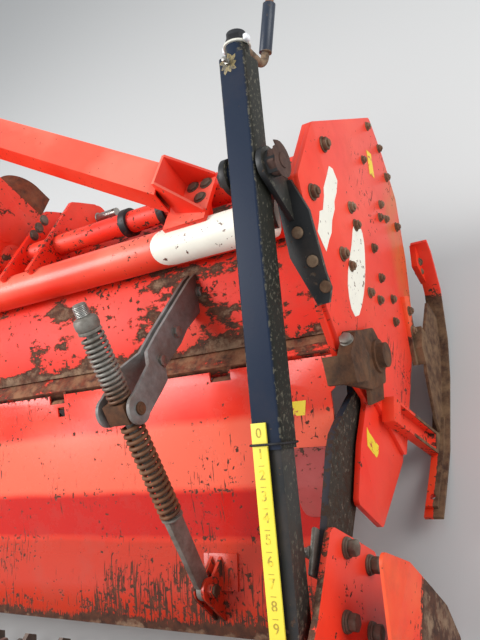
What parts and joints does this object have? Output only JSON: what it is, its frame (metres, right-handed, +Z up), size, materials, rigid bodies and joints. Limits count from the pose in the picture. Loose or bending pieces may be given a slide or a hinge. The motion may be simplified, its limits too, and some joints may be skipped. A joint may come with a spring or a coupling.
{
  "type": "tractor-mounted rotary tiller",
  "caption": "Heavy rotary tiller for a tractor's rear hitch, with side gear drive, hooded blade rotor, sprung trailing board, spindle jacks and a toothed depth roller.",
  "frame": {"origin": "on the floor under the middle of the machine's length and width", "axes": "+X to the machine's right as seen from behind, +Y forwards to the tractor, +Z up"},
  "size_m": [2.688, 1.755, 1.286],
  "materials": {
    "red": "semi-gloss red paint, chipped",
    "red_worn": "red paint, rubbed by soil",
    "navy": "satin blue-black paint, dirty",
    "black": "satin black paint, dirty",
    "rust": "rusty bare steel",
    "worn_steel": "soil-polished steel",
    "zinc": "dull zinc plate",
    "spring_steel": "rusty spring steel",
    "yellow": "yellow paint",
    "gearbox_red": "red paint over casting",
    "bright": "machined steel"
  },
  "bodies": {
    "frame": {"arm_pivots": "rust", "board_hinge_rod": "rust", "cross_shaft_tube": "red_worn", "deck": "red", "deck_rear_channel": "rust", "gear_case": "red_worn", "gear_case_cover": "red", "gearbox": "gearbox_red", "headstock": "red", "jack_brackets": "black", "lower_link_brackets": "red", "lower_link_pins": "bright", "main_tube": "red", "mast_plates": "red", "pto_guard": "rust", "rotor_bearing_left": "red", "side_plate_left": "red", "side_plate_right": "red", "skid_left": "red_worn", "skid_right": "red_worn", "spring_brackets": "zinc", "stay_feet": "red", "stays": "red"},
    "pto_shaft": {"pto_shaft": "bright"},
    "rotor": {"rotor_shaft": "rust", "rotor_blades": "worn_steel"},
    "board": {"trailing_board": "red", "board_lugs": "red"},
    "roller_frame": {"roller_arms": "black", "roller_brackets": "red", "roller_beam": "red", "jack_lugs": "red", "scraper_bar": "red_worn", "side_deflectors": "red_worn"},
    "roller": {"roller": "worn_steel"},
    "jack_outer_right": {"jack_outer_right": "navy"},
    "jack_inner_right": {"jack_inner_right": "black", "depth_scale": "yellow"},
    "jack_crank_right": {"jack_crank_right": "navy"},
    "spring_block_right": {"spring_block_right": "rust", "rod_springs_right": "spring_steel"},
    "spring_rod_right": {"spring_rod_right": "zinc"},
    "jack_outer_left": {"jack_outer_left": "navy"},
    "jack_inner_left": {"jack_inner_left": "black"},
    "jack_crank_left": {"jack_crank_left": "navy"},
    "spring_block_left": {"spring_block_left": "rust", "rod_springs_left": "spring_steel"},
    "spring_rod_left": {"spring_rod_left": "zinc"}
  },
  "joints": [
    {"name": "pto_spin", "type": "hinge", "parent": "frame", "child": "pto_shaft", "pos_m": [0, 0.8525, 0.725], "axis": [0, 1, 0], "continuous": true},
    {"name": "rotor_spin", "type": "hinge", "parent": "frame", "child": "rotor", "pos_m": [0, 0.4675, 0.285], "axis": [1, 0, 0], "continuous": true},
    {"name": "board_hinge", "type": "hinge", "parent": "frame", "child": "board", "pos_m": [0, 0.0975, 0.512], "axis": [-1, 0, 0], "range_deg": [-8, 12]},
    {"name": "roller_arm_hinge", "type": "hinge", "parent": "frame", "child": "roller_frame", "pos_m": [0, 0.1675, 0.43], "axis": [-1, 0, 0], "range_deg": [-8, 10]},
    {"name": "roller_spin", "type": "hinge", "parent": "roller_frame", "child": "roller", "pos_m": [0, -0.6575, 0.215], "axis": [1, 0, 0], "continuous": true},
    {"name": "jack_tilt_right", "type": "hinge", "parent": "frame", "child": "jack_outer_right", "pos_m": [1.19, 0.3015, 0.912], "axis": [-1, 0, 0], "range_deg": [-5.26, 6.53]},
    {"name": "jack_slide_right", "type": "slide", "parent": "jack_outer_right", "child": "jack_inner_right", "axis": [0, -0.873, -0.4878], "range_m": [-0.0632, 0.0506]},
    {"name": "crank_turn_right", "type": "hinge", "parent": "jack_outer_right", "child": "jack_crank_right", "pos_m": [1.19, 0.3015, 0.912], "axis": [0, 0.873, 0.4878], "continuous": true},
    {"name": "spring_block_tilt_right", "type": "hinge", "parent": "frame", "child": "spring_block_right", "pos_m": [0.867, -0.0875, 0.73], "axis": [-1, 0, 0], "range_deg": [-6.75, 10.03]},
    {"name": "spring_rod_slide_right", "type": "slide", "parent": "spring_block_right", "child": "spring_rod_right", "axis": [0, -0.5222, -0.8529], "range_m": [-0.0578, 0.0387], "deforming": ["rod_springs_right"]},
    {"name": "jack_tilt_left", "type": "hinge", "parent": "frame", "child": "jack_outer_left", "pos_m": [-1.19, 0.3015, 0.912], "axis": [-1, 0, 0], "range_deg": [-5.26, 6.53]},
    {"name": "jack_slide_left", "type": "slide", "parent": "jack_outer_left", "child": "jack_inner_left", "axis": [0, -0.873, -0.4878], "range_m": [-0.0632, 0.0506]},
    {"name": "crank_turn_left", "type": "hinge", "parent": "jack_outer_left", "child": "jack_crank_left", "pos_m": [-1.19, 0.3015, 0.912], "axis": [0, 0.873, 0.4878], "continuous": true},
    {"name": "spring_block_tilt_left", "type": "hinge", "parent": "frame", "child": "spring_block_left", "pos_m": [-0.867, -0.0875, 0.73], "axis": [-1, 0, 0], "range_deg": [-6.75, 10.03]},
    {"name": "spring_rod_slide_left", "type": "slide", "parent": "spring_block_left", "child": "spring_rod_left", "axis": [0, -0.5222, -0.8529], "range_m": [-0.0578, 0.0387], "deforming": ["rod_springs_left"]}
  ],
  "couplings": [
    {"joint": "jack_tilt_right", "follows": "roller_arm_hinge", "ratio": 0.6327},
    {"joint": "jack_slide_right", "follows": "roller_arm_hinge", "m_per_rad": -0.35913},
    {"joint": "spring_block_tilt_right", "follows": "board_hinge", "ratio": 0.8189},
    {"joint": "spring_rod_slide_right", "follows": "board_hinge", "m_per_rad": -0.27382},
    {"joint": "jack_tilt_left", "follows": "roller_arm_hinge", "ratio": 0.6327},
    {"joint": "jack_slide_left", "follows": "roller_arm_hinge", "m_per_rad": -0.35913},
    {"joint": "spring_block_tilt_left", "follows": "board_hinge", "ratio": 0.8189},
    {"joint": "spring_rod_slide_left", "follows": "board_hinge", "m_per_rad": -0.27382},
    {"joint": "pto_spin", "follows": "rotor_spin", "ratio": 4}
  ]
}
